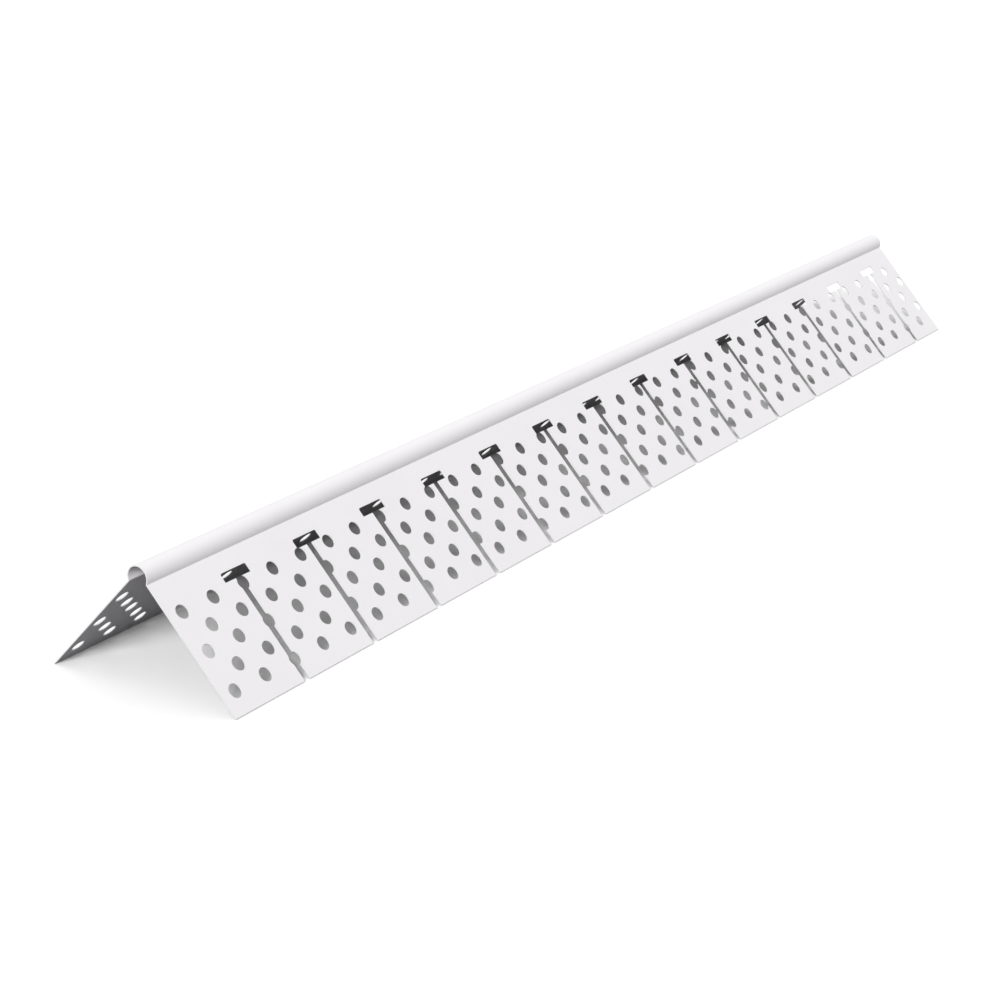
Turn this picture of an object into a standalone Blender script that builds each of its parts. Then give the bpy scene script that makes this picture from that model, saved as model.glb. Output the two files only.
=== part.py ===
"""Flexible corner bead for the edges of drywall arches: one extrusion of white rigid PVC.

Two thin perforated legs meet in a hollow rounded nose. One leg is slit, again and again, from its free edge
up to a T-shaped relief, so that it opens like a comb when the bead is bent round an arch.

Metres, +Z up. X runs along the bead, which stands like a tent on its two free edges, nose up, with the slit
leg on the -Y side. The origin is on the floor under the middle of the bead.
"""

import math

import bmesh
import bpy
from mathutils import Matrix, Vector

MM = 0.001

# The extruded section
BEAD_LENGTH = 345.0 * MM
WALL = 0.28 * MM
LEG_ANGLE = math.radians(86.0)  # a little under square, so that both free edges press on the board
LEG_WIDTH = 31.8 * MM  # from the groove beside the nose to the free edge
NOSE_RADIUS = 2.49 * MM  # to the middle of the wall
LEG_FROM_NOSE_CENTRE = 0.93 * MM  # from the nose's centre to the middle plane of each leg
GROOVE_RADIUS = 0.15 * MM  # of the outer surface, where the nose turns into a leg
NOSE_SEGMENTS = 8  # in each half of the nose
GROOVE_SEGMENTS = 3

# The round holes, which a punch makes one stroke at a time: rows in step, and rows between them
HOLE_DIAMETER = 3.2 * MM
HOLE_SIDES = 7  # few, because there are so many holes
HOLE_PITCH = 9.5 * MM  # along the bead, from stroke to stroke
FIRST_HOLE = 4.05 * MM  # from the near end, on the slit leg
PLAIN_LEG_LAG = 0.5 * MM  # the plain leg's holes start this much nearer the near end
FIRST_ROW = 7.91 * MM  # from the groove
ROW_PITCH = 9.41 * MM  # between the rows in step
HALF_STEP = 4.92 * MM  # of the rows between, along the bead and across the leg alike
FEED_SLIP = 0.65 * MM  # the strip crept on by this much before each of these strokes
SLIPPED_STROKES = (26, 31)
HOLE_MARGIN = 0.5 * MM  # the least material between a hole and an end or the free edge

# The T-shaped slits of the one leg
SLIT_WIDTH = 1.75 * MM
SLIT_PITCH = 23.52 * MM
FIRST_SLIT = 22.7 * MM  # from the near end
SLIT_HEAD_WIDTH = 8.1 * MM
SLIT_HEAD_HEIGHT = 2.15 * MM
SLIT_HEAD_TOP = 4.35 * MM  # from the groove
SLIT_MARGIN = 2.0 * MM  # the least material between a slit's head and the far end

PUNCH_CLEARANCE = 1.5 * MM  # how far a punch runs past the wall on each side, and past the free edge

SLIT_SIDE, PLAIN_SIDE = -1, 1  # the sign of Y on each leg
HALF_ANGLE = LEG_ANGLE / 2
GROOVE_FROM_FOOT = math.sqrt(NOSE_RADIUS**2 - LEG_FROM_NOSE_CENTRE**2)  # the foot is square to the nose's centre


def in_section(turn, distance):
    """A vector in the section, at a turn from straight up towards the plain leg."""
    return Vector((0, math.sin(turn), math.cos(turn))) * distance


def outward(side):
    """The direction square to a leg, away from the board."""
    return in_section(side * (math.pi / 2 - HALF_ANGLE), 1)


def down_leg(side):
    """The direction down a leg, from the nose to the free edge."""
    return in_section(side * (math.pi - HALF_ANGLE), 1)


def nose_centre():
    """The centre of the nose, at the height where the lower corners of the free edges stand on the floor."""
    lower_corner = outward(PLAIN_SIDE) * (LEG_FROM_NOSE_CENTRE - WALL / 2)
    lower_corner += down_leg(PLAIN_SIDE) * (GROOVE_FROM_FOOT + LEG_WIDTH)
    return Vector((0, 0, -lower_corner.z))


def on_leg(side, along, down):
    """A point of a leg's middle plane: along the bead from its near end, and down the leg from the groove."""
    across = outward(side) * LEG_FROM_NOSE_CENTRE + down_leg(side) * (GROOVE_FROM_FOOT + down)
    return nose_centre() + across + Vector((along - BEAD_LENGTH / 2, 0, 0))


def half_section():
    """The middle line of the wall from the top of the nose, through the groove, to the plain leg's free edge."""
    bend = GROOVE_RADIUS + WALL / 2
    leg_turn = math.pi / 2 - HALF_ANGLE
    nose_end = leg_turn + math.acos((LEG_FROM_NOSE_CENTRE + bend) / (NOSE_RADIUS + bend))
    bend_centre = in_section(nose_end, NOSE_RADIUS + bend)
    nose = [in_section(nose_end * step / NOSE_SEGMENTS, NOSE_RADIUS) for step in range(NOSE_SEGMENTS + 1)]
    turns = [nose_end + (leg_turn - nose_end) * step / GROOVE_SEGMENTS for step in range(1, GROOVE_SEGMENTS + 1)]
    groove = [bend_centre - in_section(turn, bend) for turn in turns]
    near_end = Vector((-BEAD_LENGTH / 2, 0, 0))
    line = [nose_centre() + point + near_end for point in nose + groove]
    return line + [on_leg(PLAIN_SIDE, 0, LEG_WIDTH)]


def collection_named(name):
    found = bpy.data.collections.new(name)
    bpy.context.scene.collection.children.link(found)
    return found


def object_of(shape, name, collection):
    """Turns a finished bmesh into a named object of a collection."""
    mesh = bpy.data.meshes.new(name)
    shape.to_mesh(mesh)
    shape.free()
    made = bpy.data.objects.new(name, mesh)
    collection.objects.link(made)
    return made


def extruded_bead(collection):
    """Half the section drawn along X as an open surface, mirrored, and thickened to the wall."""
    shape = bmesh.new()
    line = [shape.verts.new(point) for point in half_section()]
    edges = [shape.edges.new(pair) for pair in zip(line, line[1:])]
    drawn = bmesh.ops.extrude_edge_only(shape, edges=edges)["geom"]
    far_line = [item for item in drawn if isinstance(item, bmesh.types.BMVert)]
    bmesh.ops.translate(shape, vec=(BEAD_LENGTH, 0, 0), verts=far_line)
    bead = object_of(shape, "corner_bead", collection)
    mirror = bead.modifiers.new("both_legs", "MIRROR")
    mirror.use_axis = (False, True, False)
    mirror.merge_threshold = 0.01 * MM
    thicken = bead.modifiers.new("wall", "SOLIDIFY")
    thicken.thickness = WALL
    thicken.offset = 0
    thicken.use_even_offset = True
    return bead


def hole_places(side):
    """Where a leg's holes are, along the bead and down from the groove, as far as whole holes fit."""
    room = HOLE_DIAMETER / 2 + HOLE_MARGIN
    first = FIRST_HOLE if side == SLIT_SIDE else FIRST_HOLE - PLAIN_LEG_LAG
    for stroke in range(math.ceil(BEAD_LENGTH / HOLE_PITCH)):
        crept = FEED_SLIP * sum(stroke >= slipped for slipped in SLIPPED_STROKES)
        for row in range(math.ceil(LEG_WIDTH / ROW_PITCH)):
            for step in (0, HALF_STEP):
                along = first + HOLE_PITCH * stroke + crept + step
                down = FIRST_ROW + ROW_PITCH * row + step
                if room <= along <= BEAD_LENGTH - room and down <= LEG_WIDTH - room:
                    yield along, down


def hole_punches(collection):
    """A prism for each hole of both legs, with the area of the round hole that it stands for."""
    corner_radius = HOLE_DIAMETER / 2 * math.sqrt(math.tau / HOLE_SIDES / math.sin(math.tau / HOLE_SIDES))
    shape = bmesh.new()
    for side in (SLIT_SIDE, PLAIN_SIDE):
        facing = Matrix((Vector((1, 0, 0)), down_leg(side), outward(side))).transposed().to_4x4()
        if facing.determinant() < 0:
            facing @= Matrix.Diagonal((-1, 1, 1, 1))
        for along, down in hole_places(side):
            bmesh.ops.create_cone(
                shape,
                cap_ends=True,
                segments=HOLE_SIDES,
                radius1=corner_radius,
                radius2=corner_radius,
                depth=WALL + 2 * PUNCH_CLEARANCE,
                matrix=Matrix.Translation(on_leg(side, along, down)) @ facing,
            )
    return object_of(shape, "hole_punches", collection)


def slit_outline(centre):
    """The T of one slit, as points along the bead and down the leg. Its foot runs out past the free edge."""
    head, stem = SLIT_HEAD_WIDTH / 2, SLIT_WIDTH / 2
    head_foot = SLIT_HEAD_TOP + SLIT_HEAD_HEIGHT
    foot = LEG_WIDTH + PUNCH_CLEARANCE
    right = [(head, SLIT_HEAD_TOP), (head, head_foot), (stem, head_foot), (stem, foot)]
    left = [(-across, down) for across, down in reversed(right)]
    return [(centre + across, down) for across, down in right + left]


def slit_punches(collection):
    """A T-shaped prism for each slit, through the slit leg alone."""
    room = BEAD_LENGTH - FIRST_SLIT - SLIT_HEAD_WIDTH / 2 - SLIT_MARGIN
    through = outward(SLIT_SIDE) * (WALL + 2 * PUNCH_CLEARANCE)
    shape = bmesh.new()
    for slit in range(math.floor(room / SLIT_PITCH) + 1):
        outline = slit_outline(FIRST_SLIT + SLIT_PITCH * slit)
        corners = [shape.verts.new(on_leg(SLIT_SIDE, *place) - through / 2) for place in outline]
        drawn = bmesh.ops.extrude_face_region(shape, geom=[shape.faces.new(corners)])["geom"]
        far_corners = [item for item in drawn if isinstance(item, bmesh.types.BMVert)]
        bmesh.ops.translate(shape, vec=through, verts=far_corners)
    bmesh.ops.recalc_face_normals(shape, faces=shape.faces)
    return object_of(shape, "slit_punches", collection)


def punch_out(bead, punches):
    cut = bead.modifiers.new(punches.name, "BOOLEAN")
    cut.operation = "DIFFERENCE"
    cut.solver = "EXACT"
    cut.object = punches
    punches.hide_render = True
    punches.display_type = "WIRE"


def bodies_of(shape):
    """The separate bodies of a bmesh, each as a set of its vertices."""
    left, bodies = set(shape.verts), []
    while left:
        body, edge_of_body = set(), [left.pop()]
        while edge_of_body:
            vert = edge_of_body.pop()
            body.add(vert)
            reached = {edge.other_vert(vert) for edge in vert.link_edges} & left
            left -= reached
            edge_of_body.extend(reached)
        bodies.append(body)
    return bodies


def drop_chips(bead):
    """Where a hole's punch overlaps a slit and its head, a chip is cut free between them, and falls out."""
    bpy.context.view_layer.update()
    punched = bpy.data.meshes.new_from_object(bead.evaluated_get(bpy.context.evaluated_depsgraph_get()))
    shape = bmesh.new()
    shape.from_mesh(punched)
    chips = sorted(bodies_of(shape), key=len)[:-1]
    bmesh.ops.delete(shape, geom=[vert for chip in chips for vert in chip], context="VERTS")
    shape.to_mesh(punched)
    shape.free()
    bead.modifiers.clear()
    bead.data = punched


def rigid_pvc():
    material = bpy.data.materials.new("rigid_white_pvc")
    material.use_nodes = True
    shader = material.node_tree.nodes["Principled BSDF"]
    shader.inputs["Base Color"].default_value = (0.85, 0.84, 0.85, 1)
    shader.inputs["Roughness"].default_value = 0.45
    shader.inputs["IOR"].default_value = 1.53
    return material


def main():
    for old in list(bpy.data.objects):
        bpy.data.objects.remove(old, do_unlink=True)
    parts = collection_named("arch_corner_bead")
    punches = collection_named("punches")
    bead = extruded_bead(parts)
    punch_out(bead, hole_punches(punches))
    punch_out(bead, slit_punches(punches))
    drop_chips(bead)
    bead.data.materials.append(rigid_pvc())
    bead.data.shade_smooth()
    bead.data.set_sharp_from_angle(angle=math.radians(35))


main()
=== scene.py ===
"""Looks of the flexible corner bead for drywall arches: the fine extrusion, its PVC, and a pale studio.

Metres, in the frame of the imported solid: X along the bead, the slit leg at -Y, and Z up from the floor on
which the bead's two free edges stand.
"""

import math

import bmesh
import bpy
from mathutils import Matrix, Vector
from mathutils.geometry import delaunay_2d_cdt


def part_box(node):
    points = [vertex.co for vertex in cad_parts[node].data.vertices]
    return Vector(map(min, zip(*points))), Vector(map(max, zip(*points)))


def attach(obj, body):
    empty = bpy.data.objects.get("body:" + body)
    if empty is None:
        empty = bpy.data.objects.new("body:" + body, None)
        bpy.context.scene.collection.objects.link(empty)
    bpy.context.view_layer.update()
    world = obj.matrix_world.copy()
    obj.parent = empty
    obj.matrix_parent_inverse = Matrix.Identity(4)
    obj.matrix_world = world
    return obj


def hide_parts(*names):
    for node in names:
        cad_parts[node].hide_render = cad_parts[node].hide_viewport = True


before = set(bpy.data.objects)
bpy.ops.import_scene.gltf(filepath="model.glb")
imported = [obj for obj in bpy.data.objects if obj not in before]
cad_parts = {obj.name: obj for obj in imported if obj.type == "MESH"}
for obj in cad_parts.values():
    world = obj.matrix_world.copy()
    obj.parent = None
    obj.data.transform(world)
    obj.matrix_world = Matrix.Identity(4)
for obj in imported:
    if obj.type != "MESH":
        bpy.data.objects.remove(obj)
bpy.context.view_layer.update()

MM = 0.001
bead_low, bead_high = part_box("corner_bead")

# The extruded section
BEAD_LENGTH = bead_high.x - bead_low.x
WALL = 0.28 * MM
HALF_ANGLE = math.radians(86.0) / 2
LEG_WIDTH = 31.8 * MM  # from the groove to the free edge
NOSE_RADIUS = 2.49 * MM  # to the middle of the wall
LEG_FROM_NOSE_CENTRE = 0.93 * MM
GROOVE_RADIUS = 0.15 * MM
NOSE_STEPS = 48
GROOVE_STEPS = 8

# The punched holes
HOLE_DIAMETER = 3.2 * MM
HOLE_SIDES = 24
HOLE_PITCH = 9.5 * MM
FIRST_HOLE = 4.05 * MM
PLAIN_LEG_LAG = 0.5 * MM
FIRST_ROW = 7.91 * MM
ROW_PITCH = 9.41 * MM
HALF_STEP = 4.92 * MM
FEED_SLIP = 0.65 * MM
SLIPPED_STROKES = (26, 31)
HOLE_MARGIN = 0.5 * MM

# The T-shaped slits
SLIT_WIDTH = 1.75 * MM
SLIT_PITCH = 23.52 * MM
FIRST_SLIT = 22.7 * MM
SLIT_HEAD_WIDTH = 8.1 * MM
SLIT_HEAD_HEIGHT = 2.15 * MM
SLIT_HEAD_TOP = 4.35 * MM
SLIT_MARGIN = 2.0 * MM
SLIT_HEAD_ROUNDING = 0.5 * MM
SLIT_ROUNDING_STEPS = 3
SLIT_RUN_OUT = 1.0 * MM  # past the free edge

SHEARED_ROUNDING = 0.05 * MM  # of every punched and sawn rim
MERGE = 0.001 * MM
SAME_POINT = 1e-4  # in mm, where the legs are cut up flat
INSIDE_ONLY = 1  # the triangulation's own number for it
SHARP_TURN = math.radians(30)
FLAT_LEG = 0.99999  # the cosine above which a face lies in a leg

# The surfaces
MOTTLE_SIZE = 18 * MM
DIE_LINE_SPACING = 0.5 * MM  # coarser than the real lines, so that they show
DIE_LINE_STRETCH = 100
DIE_LINE_DEPTH = 0.02 * MM
TEAR_SIZE = 0.15 * MM
TEAR_DEPTH = 0.02 * MM
PVC_IOR = 1.53

# The studio
KEY_FROM = (-0.8, -0.31, 0.51)  # the near end, a little to the slit leg's side
KEY_LEVEL = 1.0
KEY_SPREAD = math.radians(22)
BACK_FROM = (0, 0.87, 0.5)
BACK_LEVEL = 0.18
BACK_SPREAD = math.radians(50)
SURROUND_LEVEL = 0.48  # of the light that falls on the bead from all round
FLOOR_LIFT = 0.02  # in what the floor shows, so that its open parts are white
FLOOR_SIZE = 12

# The camera's place in hole pitches, from the legs' apex over the first hole
CAMERA_FROM_FIRST_HOLE = Vector((-33.461, -30.321, 17.5))
CAMERA_HEADING = math.radians(32.94)  # from +X towards +Y
CAMERA_DIP = math.radians(19.74)
CAMERA_ROLL = math.radians(0.5)
FOCAL_PIXELS = 2302.1  # in a frame of 1000 pixels
FRAME_PIXELS = 1000
SENSOR = 36.0
NEAREST_SEEN, FARTHEST_SEEN = 0.01, 20

SLIT_SIDE, PLAIN_SIDE = -1, 1
GROOVE_FROM_FOOT = math.sqrt(NOSE_RADIUS**2 - LEG_FROM_NOSE_CENTRE**2)


def in_section(turn, distance):
    """A vector in the section, at a turn from straight up towards the plain leg."""
    return Vector((0, math.sin(turn), math.cos(turn))) * distance


def outward(side):
    return in_section(side * (math.pi / 2 - HALF_ANGLE), 1)


def down_leg(side):
    return in_section(side * (math.pi - HALF_ANGLE), 1)


def nose_centre():
    """The centre of the nose above the floor on which the free edges' lower corners stand."""
    lower_corner = outward(PLAIN_SIDE) * (LEG_FROM_NOSE_CENTRE - WALL / 2)
    lower_corner += down_leg(PLAIN_SIDE) * (GROOVE_FROM_FOOT + LEG_WIDTH)
    return Vector((0, 0, -lower_corner.z))


def on_leg(side, along, down):
    """A point of a leg's middle plane: along from the bead's near end, and down from the groove."""
    across = outward(side) * LEG_FROM_NOSE_CENTRE + down_leg(side) * (GROOVE_FROM_FOOT + down)
    return nose_centre() + across + Vector((along - BEAD_LENGTH / 2, 0, 0))


def groove_bend():
    """The bend from the nose to a leg: its radius at mid wall, and the turn at which the nose ends."""
    bend = GROOVE_RADIUS + WALL / 2
    leg_turn = math.pi / 2 - HALF_ANGLE
    return bend, leg_turn + math.acos((LEG_FROM_NOSE_CENTRE + bend) / (NOSE_RADIUS + bend))


def leg_top():
    """How far down from the groove a leg starts to be flat."""
    bend, _ = groove_bend()
    return math.sqrt((NOSE_RADIUS + bend) ** 2 - (LEG_FROM_NOSE_CENTRE + bend) ** 2) - GROOVE_FROM_FOOT


def nose_line():
    """The middle line of the wall over the nose, from the flat of one leg to the flat of the other."""
    bend, nose_end = groove_bend()
    leg_turn = math.pi / 2 - HALF_ANGLE
    bend_centre = in_section(nose_end, NOSE_RADIUS + bend)
    half_steps = NOSE_STEPS // 2
    half = [in_section(nose_end * step / half_steps, NOSE_RADIUS) for step in range(half_steps + 1)]
    for step in range(1, GROOVE_STEPS + 1):
        turn = nose_end + (leg_turn - nose_end) * step / GROOVE_STEPS
        half.append(bend_centre - in_section(turn, bend))
    other = [Vector((0, -point.y, point.z)) for point in reversed(half[1:])]
    return [nose_centre() + point for point in other + half]


def hole_places(side):
    """Where a leg's holes are, along the bead and down from the groove, as far as whole holes fit."""
    room = HOLE_DIAMETER / 2 + HOLE_MARGIN
    first = FIRST_HOLE if side == SLIT_SIDE else FIRST_HOLE - PLAIN_LEG_LAG
    for stroke in range(math.ceil(BEAD_LENGTH / HOLE_PITCH)):
        crept = FEED_SLIP * sum(stroke >= slipped for slipped in SLIPPED_STROKES)
        for row in range(math.ceil(LEG_WIDTH / ROW_PITCH)):
            for step in (0, HALF_STEP):
                along = first + HOLE_PITCH * stroke + crept + step
                down = FIRST_ROW + ROW_PITCH * row + step
                if room <= along <= BEAD_LENGTH - room and down <= LEG_WIDTH - room:
                    yield along, down


def hole_outline(along, down):
    turns = [math.tau * side / HOLE_SIDES for side in range(HOLE_SIDES)]
    radius = HOLE_DIAMETER / 2
    return [(along + radius * math.cos(turn), down + radius * math.sin(turn)) for turn in turns]


def rounded(corner, before, after, radius):
    """The points of a square corner of an outline, rounded."""
    start = corner + (before - corner).normalized() * radius
    end = corner + (after - corner).normalized() * radius
    centre = start + end - corner
    points = []
    for step in range(SLIT_ROUNDING_STEPS + 1):
        turn = math.pi / 2 * step / SLIT_ROUNDING_STEPS
        points.append(centre + (start - centre) * math.cos(turn) + (end - centre) * math.sin(turn))
    return points


def slit_outline(centre):
    """The T of one slit, with its head's corners rounded, and its foot past the free edge."""
    head, stem = SLIT_HEAD_WIDTH / 2, SLIT_WIDTH / 2
    head_foot = SLIT_HEAD_TOP + SLIT_HEAD_HEIGHT
    foot = LEG_WIDTH + SLIT_RUN_OUT
    right = [(head, SLIT_HEAD_TOP), (head, head_foot), (stem, head_foot), (stem, foot)]
    left = [(-across, down) for across, down in reversed(right)]
    corners = [Vector((centre + across, down)) for across, down in right + left]
    outline = []
    for index, corner in enumerate(corners):
        before, after = corners[index - 1], corners[(index + 1) % len(corners)]
        of_head = corner.y < head_foot or abs(corner.x - centre) == head
        outline += rounded(corner, before, after, SLIT_HEAD_ROUNDING) if of_head else [corner]
    return [tuple(point) for point in outline]


def slit_outlines():
    room = BEAD_LENGTH - FIRST_SLIT - SLIT_HEAD_WIDTH / 2 - SLIT_MARGIN
    slits = math.floor(room / SLIT_PITCH) + 1
    return [slit_outline(FIRST_SLIT + SLIT_PITCH * slit) for slit in range(slits)]


def flat_less_openings(outline, openings):
    """A flat sheet's points and triangles, less openings that may overlap each other and its edge."""
    points, loops = [], []
    for loop in [outline, *openings]:
        loops.append(list(range(len(points), len(points) + len(loop))))
        points += [Vector(point) / MM for point in loop]
    made = delaunay_2d_cdt(points, [], loops, INSIDE_ONLY, SAME_POINT)
    flat, triangles, owners = made[0], made[2], made[5]
    kept = [triangle for triangle, inside in zip(triangles, owners) if inside == [0]]
    return [point * MM for point in flat], kept


def add_leg(shape, side):
    """The middle plane of a leg, with its openings, as triangles."""
    top = leg_top()
    outline = [(0, top), (BEAD_LENGTH, top), (BEAD_LENGTH, LEG_WIDTH), (0, LEG_WIDTH)]
    openings = [hole_outline(*place) for place in hole_places(side)]
    if side == SLIT_SIDE:
        openings += slit_outlines()
    flat, triangles = flat_less_openings(outline, openings)
    used = sorted({index for triangle in triangles for index in triangle})
    verts = {index: shape.verts.new(on_leg(side, *flat[index])) for index in used}
    for triangle in triangles:
        corners = [verts[index] for index in triangle]
        shape.faces.new(corners if side == SLIT_SIDE else reversed(corners))


def add_nose(shape):
    line = [shape.verts.new(point + Vector((-BEAD_LENGTH / 2, 0, 0))) for point in nose_line()]
    edges = [shape.edges.new(pair) for pair in zip(line, line[1:])]
    drawn = bmesh.ops.extrude_edge_only(shape, edges=edges)["geom"]
    far_line = [item for item in drawn if isinstance(item, bmesh.types.BMVert)]
    bmesh.ops.translate(shape, vec=(BEAD_LENGTH, 0, 0), verts=far_line)


def drop_chips(shape):
    """Where a hole's punch overlaps a slit and its head, the chip cut free between them falls out."""
    left, bodies = set(shape.verts), []
    while left:
        body, front = set(), [left.pop()]
        while front:
            vert = front.pop()
            body.add(vert)
            reached = {edge.other_vert(vert) for edge in vert.link_edges} & left
            left -= reached
            front.extend(reached)
        bodies.append(body)
    chips = sorted(bodies, key=len)[:-1]
    bmesh.ops.delete(shape, geom=[vert for chip in chips for vert in chip], context="VERTS")


def extruded_bead():
    """The bead's fine mesh: its skins have the first material, and its sheared walls the second."""
    shape = bmesh.new()
    for side in (SLIT_SIDE, PLAIN_SIDE):
        add_leg(shape, side)
    add_nose(shape)
    bmesh.ops.remove_doubles(shape, verts=shape.verts, dist=MERGE)
    drop_chips(shape)
    bmesh.ops.recalc_face_normals(shape, faces=shape.faces)
    mesh = bpy.data.meshes.new("arch_bead_extrusion")
    shape.to_mesh(mesh)
    shape.free()
    bead = bpy.data.objects.new("arch_bead_extrusion", mesh)
    bpy.context.scene.collection.objects.link(bead)
    wall = bead.modifiers.new("wall", "SOLIDIFY")
    wall.thickness = WALL
    wall.offset = 0
    wall.use_even_offset = True
    wall.material_offset_rim = 1
    return bead


def applied(thing):
    """Puts an object's evaluated mesh in place of its own, and clears its modifiers."""
    bpy.context.view_layer.update()
    graph = bpy.context.evaluated_depsgraph_get()
    made = bpy.data.meshes.new_from_object(thing.evaluated_get(graph))
    thing.modifiers.clear()
    thing.data = made


def round_rims(bead):
    """Takes the sharpness off every rim between a skin and a sheared wall."""
    shape = bmesh.new()
    shape.from_mesh(bead.data)
    rims = [e for e in shape.edges if len({face.material_index for face in e.link_faces}) == 2]
    bmesh.ops.bevel(
        shape,
        geom=rims,
        offset=SHEARED_ROUNDING,
        offset_type="OFFSET",
        segments=2,
        profile=0.5,
        affect="EDGES",
        clamp_overlap=True,
        material=1,
    )
    shape.to_mesh(bead.data)
    shape.free()


def shade(bead):
    """Smooth over the nose and the rounded rims, and flat over the legs."""
    shape = bmesh.new()
    shape.from_mesh(bead.data)
    shape.normal_update()
    for edge in shape.edges:
        same_skin = len({face.material_index for face in edge.link_faces}) == 1
        edge.smooth = same_skin and edge.calc_face_angle(0) < SHARP_TURN
    legs = [outward(side) for side in (SLIT_SIDE, PLAIN_SIDE)]
    for face in shape.faces:
        face.smooth = all(abs(face.normal.dot(leg)) < FLAT_LEG for leg in legs)
    shape.to_mesh(bead.data)
    shape.free()


def linear(hex_colour):
    """A linear RGBA colour of an sRGB hex value."""
    channels = [int(hex_colour[place : place + 2], 16) / 255 for place in (1, 3, 5)]
    return [c / 12.92 if c <= 0.04045 else ((c + 0.055) / 1.055) ** 2.4 for c in channels] + [1]


def add_node(material, kind, inputs=(), **settings):
    """Adds a node: inputs maps a socket's name or number to a value or to another node's output."""
    node = material.node_tree.nodes.new(kind)
    for name, value in settings.items():
        setattr(node, name, value)
    for name, value in dict(inputs).items():
        if isinstance(value, bpy.types.NodeSocket):
            material.node_tree.links.new(value, node.inputs[name])
        else:
            node.inputs[name].default_value = value
    return node


def new_material(name):
    material = bpy.data.materials.new(name)
    material.use_nodes = True
    material.node_tree.nodes.clear()
    return material


def extruded_pvc():
    """White rigid PVC as it leaves the die: a low satin, with faint die lines and a little mottle."""
    material = new_material("extruded_rigid_pvc")
    place = add_node(material, "ShaderNodeTexCoord").outputs["Object"]
    mottle = add_node(
        material,
        "ShaderNodeTexNoise",
        {"Vector": place, "Scale": 1 / MOTTLE_SIZE, "Detail": 3.0, "Roughness": 0.6},
    )
    tint = add_node(
        material,
        "ShaderNodeMix",
        {0: mottle.outputs[0], 6: linear("#F0EEF0"), 7: linear("#EBE9EB")},
        data_type="RGBA",
    )
    drawn = add_node(
        material, "ShaderNodeMapping", {"Vector": place, "Scale": (1 / DIE_LINE_STRETCH, 1, 1)}
    )
    die_lines = add_node(
        material,
        "ShaderNodeTexNoise",
        {"Vector": drawn.outputs["Vector"], "Scale": 1 / DIE_LINE_SPACING, "Detail": 2.0},
    )
    relief = add_node(
        material,
        "ShaderNodeBump",
        {"Height": die_lines.outputs[0], "Strength": 0.15, "Distance": DIE_LINE_DEPTH},
    )
    rough = add_node(
        material, "ShaderNodeMapRange", {"Value": die_lines.outputs[0], "To Min": 0.58, "To Max": 0.68}
    )
    shader = add_node(
        material,
        "ShaderNodeBsdfPrincipled",
        {
            "Base Color": tint.outputs[2],
            "Roughness": rough.outputs[0],
            "Normal": relief.outputs["Normal"],
            "IOR": PVC_IOR,
        },
    )
    add_node(material, "ShaderNodeOutputMaterial", {"Surface": shader.outputs["BSDF"]})
    return material


def sheared_pvc_painted_shade():
    """The same PVC where a punch or saw went through it: matt, with tear marks, and greyer, which is
    painted shade on the cut walls.
    """
    material = new_material("sheared_rigid_pvc_painted_shade")
    place = add_node(material, "ShaderNodeTexCoord").outputs["Object"]
    tears = add_node(
        material, "ShaderNodeTexNoise", {"Vector": place, "Scale": 1 / TEAR_SIZE, "Detail": 3.0}
    )
    relief = add_node(
        material, "ShaderNodeBump", {"Height": tears.outputs[0], "Strength": 0.3, "Distance": TEAR_DEPTH}
    )
    # Greyer than the skin's PVC: painted shade on the cut walls, with a random tear mottle between the two
    # greys
    tint = add_node(
        material,
        "ShaderNodeMix",
        {0: tears.outputs[0], 6: linear("#E2E0E2"), 7: linear("#D8D6D8")},
        data_type="RGBA",
    )
    shader = add_node(
        material,
        "ShaderNodeBsdfPrincipled",
        {
            "Base Color": tint.outputs[2],
            "Roughness": 0.8,
            "Normal": relief.outputs["Normal"],
            "IOR": PVC_IOR,
        },
    )
    add_node(material, "ShaderNodeOutputMaterial", {"Surface": shader.outputs["BSDF"]})
    return material


def photo_camera():
    apex_height = nose_centre().z + LEG_FROM_NOSE_CENTRE / math.sin(HALF_ANGLE)
    first_hole = Vector((FIRST_HOLE - BEAD_LENGTH / 2, 0, apex_height))
    lens = bpy.data.cameras.new("photo_camera")
    lens.sensor_width = SENSOR
    lens.lens = FOCAL_PIXELS / FRAME_PIXELS * SENSOR
    lens.clip_start, lens.clip_end = NEAREST_SEEN, FARTHEST_SEEN
    camera = bpy.data.objects.new("photo_camera", lens)
    bpy.context.scene.collection.objects.link(camera)
    ahead = Vector((math.cos(CAMERA_HEADING), math.sin(CAMERA_HEADING), -math.tan(CAMERA_DIP)))
    turn = ahead.to_track_quat("-Z", "Y").to_matrix() @ Matrix.Rotation(CAMERA_ROLL, 3, "Z")
    place = first_hole + CAMERA_FROM_FIRST_HOLE * HOLE_PITCH
    camera.matrix_world = Matrix.LocRotScale(place, turn, None)
    bpy.context.scene.camera = camera


def add_softbox(name, towards, level, spread):
    """A far softbox: light from a direction, at the level that it gives a white sheet facing it."""
    lamp = bpy.data.lights.new(name, "SUN")
    lamp.energy = level * math.pi
    lamp.angle = spread
    softbox = bpy.data.objects.new(name, lamp)
    softbox.rotation_euler = Vector(towards).to_track_quat("Z", "Y").to_euler()
    bpy.context.scene.collection.objects.link(softbox)


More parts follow.
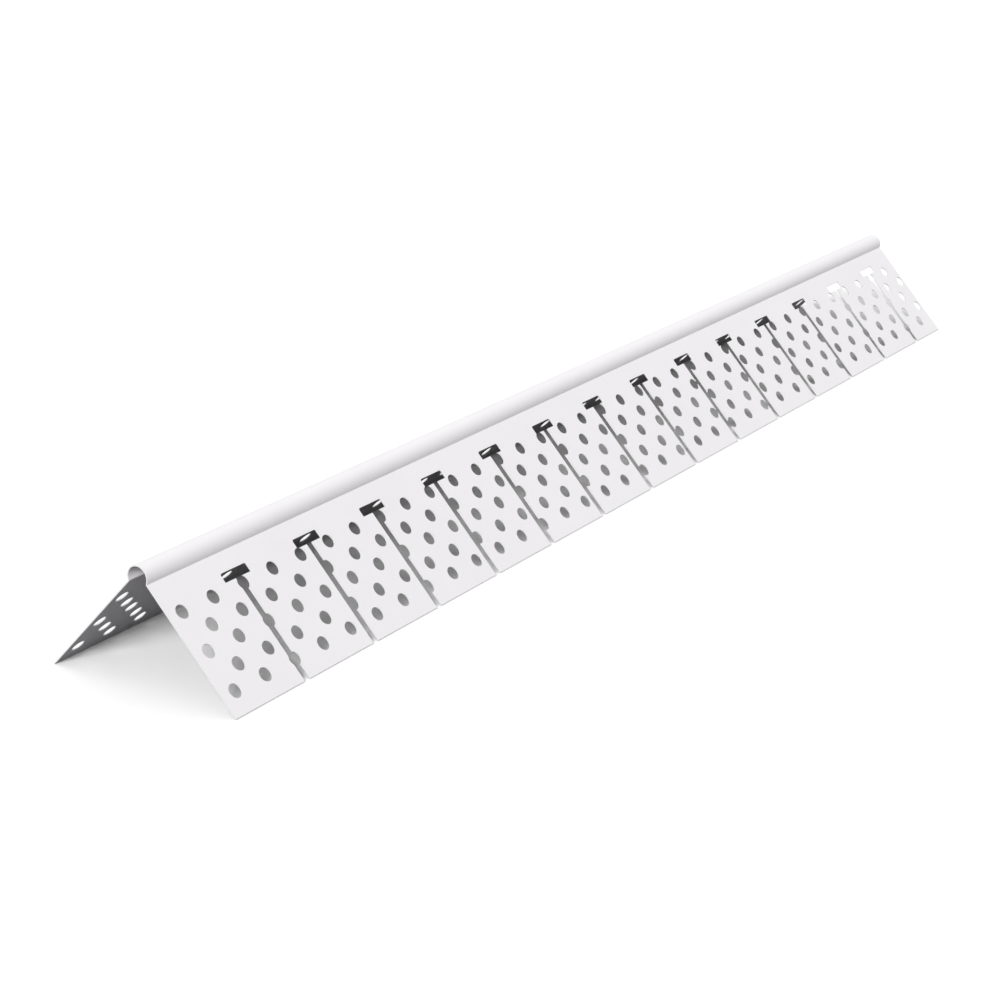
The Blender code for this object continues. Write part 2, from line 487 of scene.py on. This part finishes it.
def seen_there(material):
    """1 where something is seen, also in a gloss or through glass, and 0 where it lights other things."""
    rays = add_node(material, "ShaderNodeLightPath").outputs
    seen = rays["Is Camera Ray"]
    for kind in ("Is Glossy Ray", "Is Transmission Ray"):
        either = add_node(material, "ShaderNodeMath", {0: seen, 1: rays[kind]}, operation="MAXIMUM")
        seen = either.outputs[0]
    return seen


def pale_floor():
    """A plain floor: white where it is seen, with the bead's shadow, and dim in what it throws back."""
    material = new_material("pale_floor")
    dim = add_node(material, "ShaderNodeBsdfDiffuse", {"Color": linear("#505052")})
    paper = add_node(material, "ShaderNodeBsdfDiffuse", {"Color": linear("#FFFFFF")})
    lift = add_node(material, "ShaderNodeEmission", {"Color": linear("#FFFFFF"), "Strength": FLOOR_LIFT})
    white = add_node(material, "ShaderNodeAddShader", {0: paper.outputs[0], 1: lift.outputs[0]})
    either = add_node(
        material, "ShaderNodeMixShader", {0: seen_there(material), 1: dim.outputs[0], 2: white.outputs[0]}
    )
    add_node(material, "ShaderNodeOutputMaterial", {"Surface": either.outputs[0]})
    bpy.ops.mesh.primitive_plane_add(size=FLOOR_SIZE, location=(0, 0, 0))
    floor = bpy.context.object
    floor.name = "pale_floor"
    floor.data.materials.append(material)


def studio_world():
    """An even pale surround, white where it is seen."""
    world = bpy.data.worlds.new("studio")
    world.use_nodes = True
    world.node_tree.nodes.clear()
    strength = add_node(
        world, "ShaderNodeMapRange", {"Value": seen_there(world), "To Min": SURROUND_LEVEL, "To Max": 1.0}
    )
    surround = add_node(
        world, "ShaderNodeBackground", {"Color": linear("#FFFFFF"), "Strength": strength.outputs[0]}
    )
    add_node(world, "ShaderNodeOutputWorld", {"Surface": surround.outputs[0]})
    bpy.context.scene.world = world


def main():
    bpy.context.scene.view_settings.view_transform = "Standard"
    photo_camera()
    bead = extruded_bead()
    bead.data.materials.append(extruded_pvc())
    bead.data.materials.append(sheared_pvc_painted_shade())
    applied(bead)
    round_rims(bead)
    shade(bead)
    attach(bead, "root")
    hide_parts("corner_bead")
    pale_floor()
    studio_world()
    add_softbox("key_softbox", KEY_FROM, KEY_LEVEL, KEY_SPREAD)
    add_softbox("back_softbox", BACK_FROM, BACK_LEVEL, BACK_SPREAD)


main()
